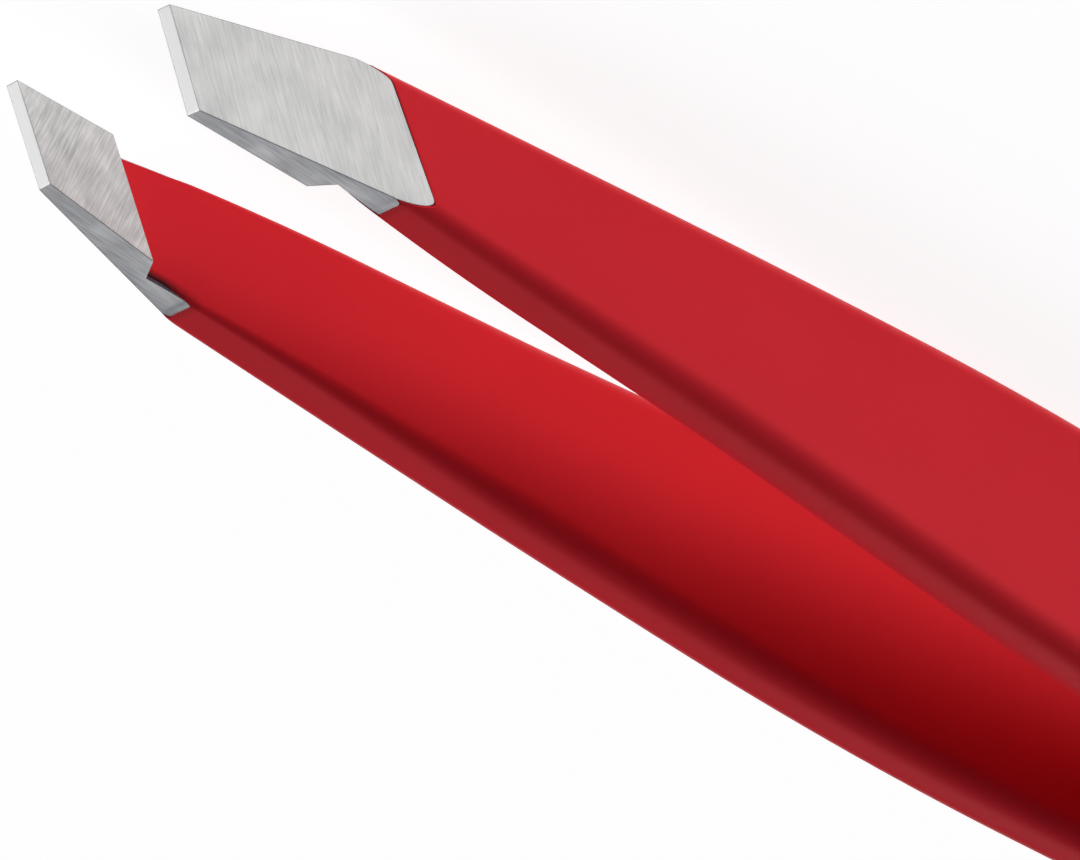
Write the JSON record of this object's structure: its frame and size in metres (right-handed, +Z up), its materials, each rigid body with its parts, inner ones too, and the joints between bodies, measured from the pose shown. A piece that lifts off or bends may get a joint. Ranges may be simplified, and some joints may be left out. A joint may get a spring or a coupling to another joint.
{
  "type": "slant tweezers",
  "caption": "Sprung slant-tip tweezers: bowed steel arms welded at the heel, enamelled, with bare ground tips.",
  "frame": {"origin": "middle of the length and of the opening, on the flat that the tweezers lie on", "axes": "+X from the heel to the tips, +Y the way the left arm opens, +Z up across the width of the strips"},
  "size_m": [0.095, 0.0124, 0.0099],
  "materials": {
    "steel": "ground across the tips, fine brushed",
    "weld": "as welded, dull",
    "enamel": "baked red enamel, satin gloss"
  },
  "bodies": {
    "heel": {"left_heel": "steel", "right_heel": "steel", "spot_welds": "weld", "heel_enamel": "enamel"},
    "left_arm": {"left_arm": "steel", "left_arm_enamel": "enamel"},
    "right_arm": {"right_arm": "steel", "right_arm_enamel": "enamel"}
  },
  "joints": [
    {"name": "left_flex", "type": "hinge", "parent": "heel", "child": "left_arm", "pos_m": [-0.0285, 0.00061, 0.00495], "axis": [0, 0, -1], "range_deg": [0, 2.55], "stiffness_Nm_per_rad": 3},
    {"name": "right_flex", "type": "hinge", "parent": "heel", "child": "right_arm", "pos_m": [-0.0285, -0.00061, 0.00495], "axis": [0, 0, 1], "range_deg": [0, 2.55], "stiffness_Nm_per_rad": 3}
  ]
}
